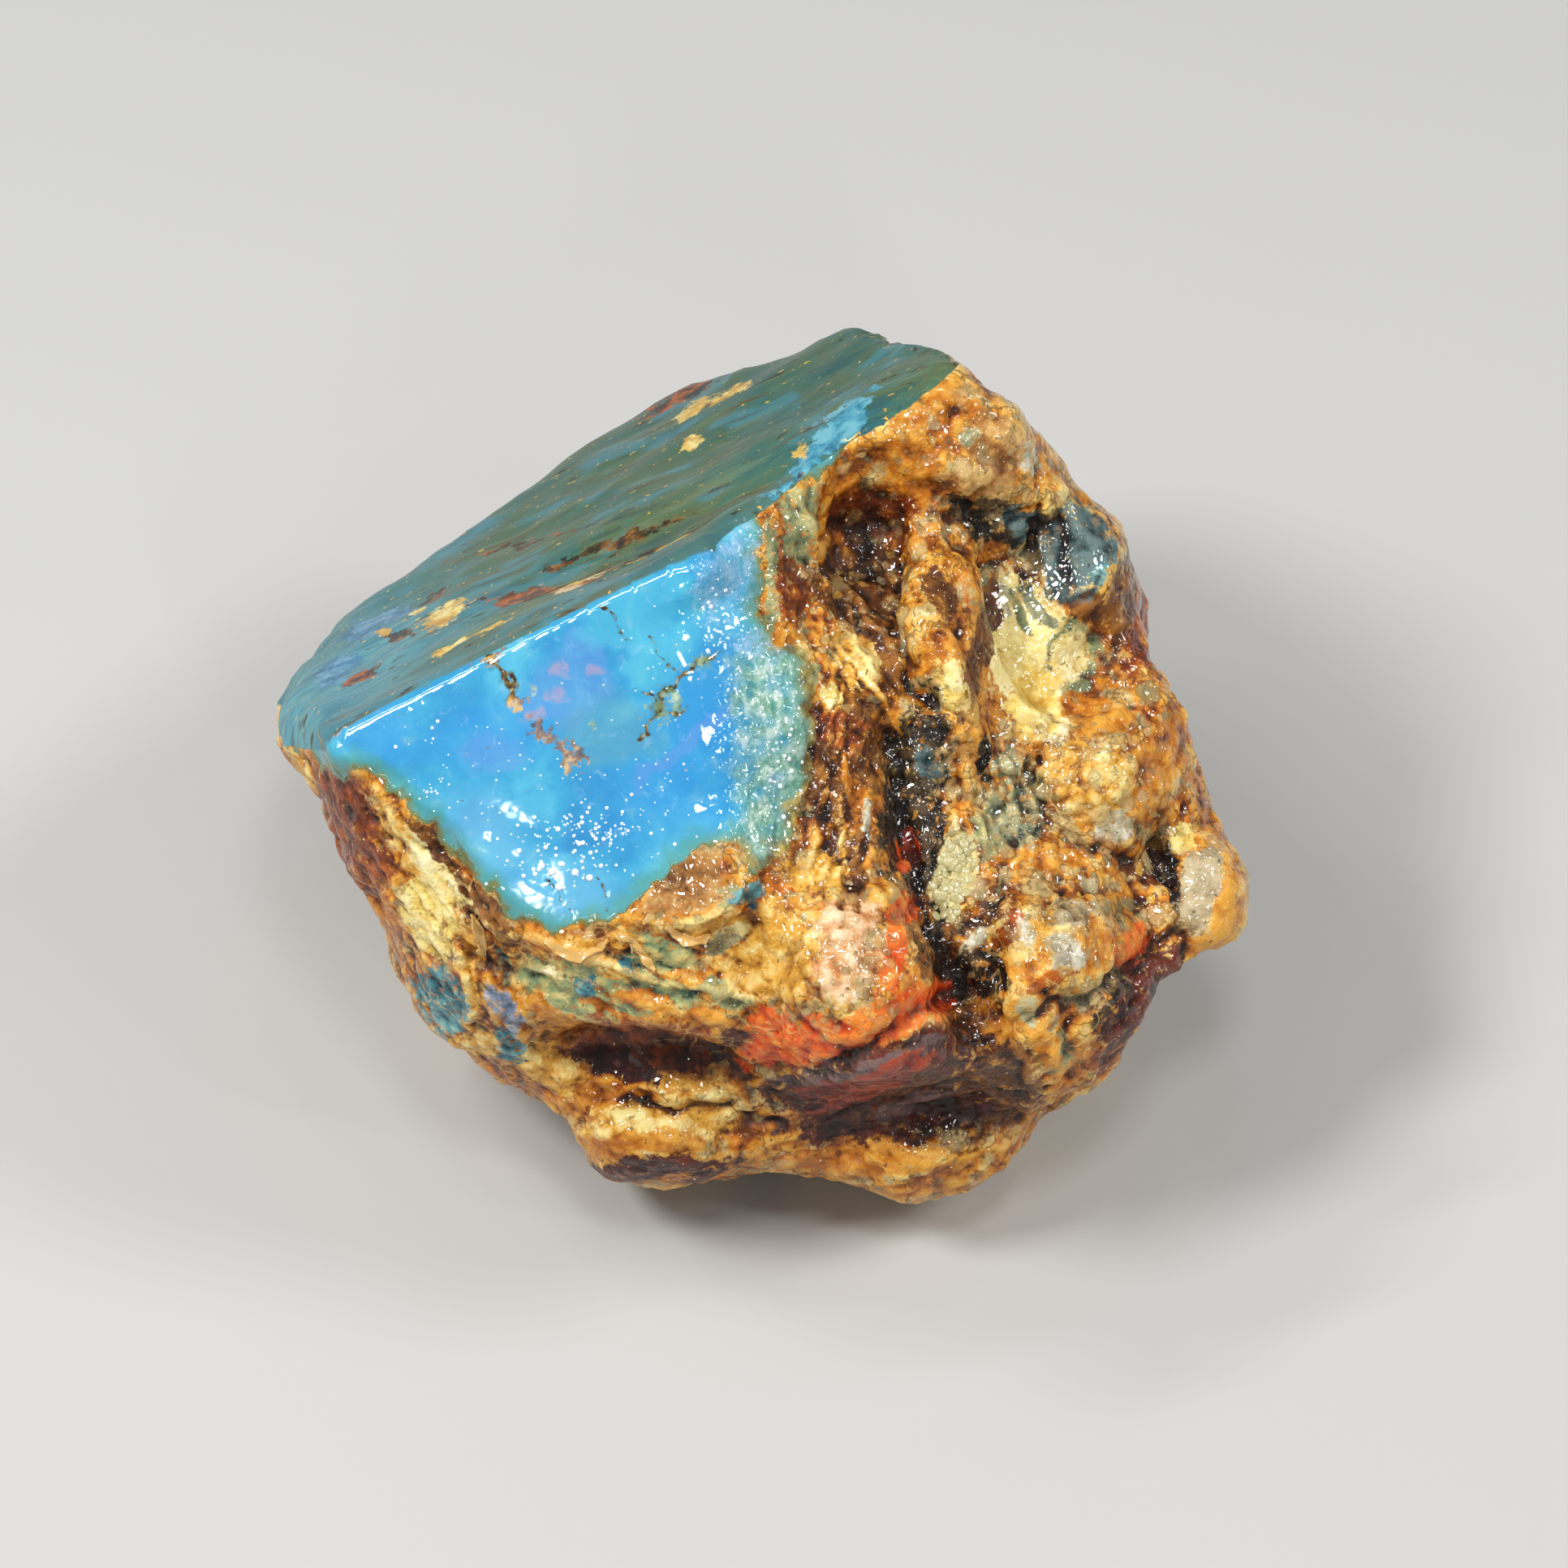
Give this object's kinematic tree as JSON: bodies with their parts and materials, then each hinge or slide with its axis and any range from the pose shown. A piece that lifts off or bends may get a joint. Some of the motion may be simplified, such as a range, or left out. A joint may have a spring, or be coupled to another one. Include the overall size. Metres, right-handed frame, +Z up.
{
  "type": "rough blue opal specimen",
  "caption": "Palm-sized rough stone with two flat sawn faces meeting at a straight edge and a lumpy, furrowed crust elsewhere; it rests on a flat foot.",
  "frame": {"origin": "middle of the bounding box's bottom, at the level of the flat foot", "axes": "+X across the blue polished face, towards the lumpy crust; -Y towards the viewer of that face; +Z up"},
  "size_m": [0.0456, 0.0424, 0.0338],
  "materials": {
    "opal_in_ironstone": "wet-looking: polished blue opal on the two sawn faces, glossy gold, rust and dark brown crust elsewhere"
  },
  "bodies": {
    "root": {"rough_opal_stone": "opal_in_ironstone"}
  },
  "joints": []
}
